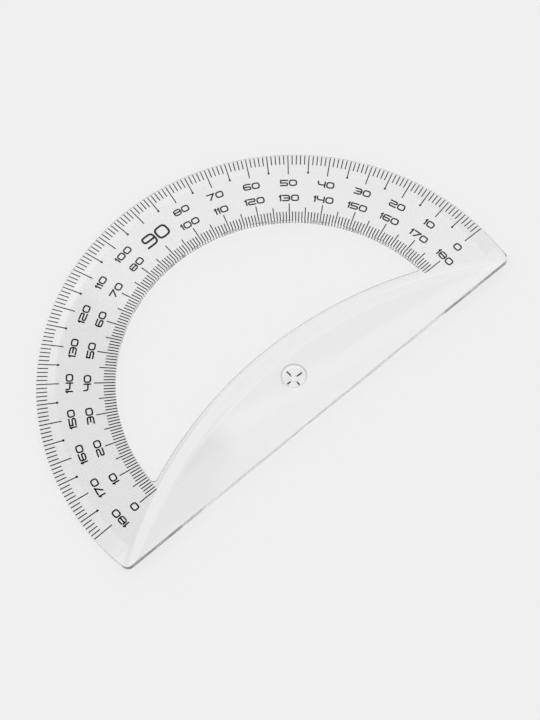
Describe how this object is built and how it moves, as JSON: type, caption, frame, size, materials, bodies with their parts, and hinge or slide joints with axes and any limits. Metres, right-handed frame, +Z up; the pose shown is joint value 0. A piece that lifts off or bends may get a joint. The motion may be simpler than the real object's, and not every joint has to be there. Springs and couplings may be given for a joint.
{
  "type": "protractor",
  "caption": "Clear half-round plastic protractor with a window, a raised crescent grip, a centre hole and two printed degree scales that count opposite ways.",
  "frame": {"origin": "axis of the centre hole, at the flat printed underside", "axes": "+X along the straight edge to the 0 of the outer scale, +Y to 90 degrees, +Z up out of the underside"},
  "size_m": [0.1, 0.059, 0.0019],
  "materials": {
    "clear_plastic": "clear, polished",
    "printed_ink": "matte black print"
  },
  "bodies": {
    "root": {"clear_body": "clear_plastic", "outer_degree_ticks": "printed_ink", "outer_five_ticks": "printed_ink", "outer_ten_ticks": "printed_ink", "inner_degree_ticks": "printed_ink", "inner_five_ticks": "printed_ink", "inner_ten_ticks": "printed_ink", "outer_numerals": "printed_ink", "inner_numerals": "printed_ink", "shared_ninety": "printed_ink", "centre_marks": "printed_ink"}
  },
  "joints": []
}
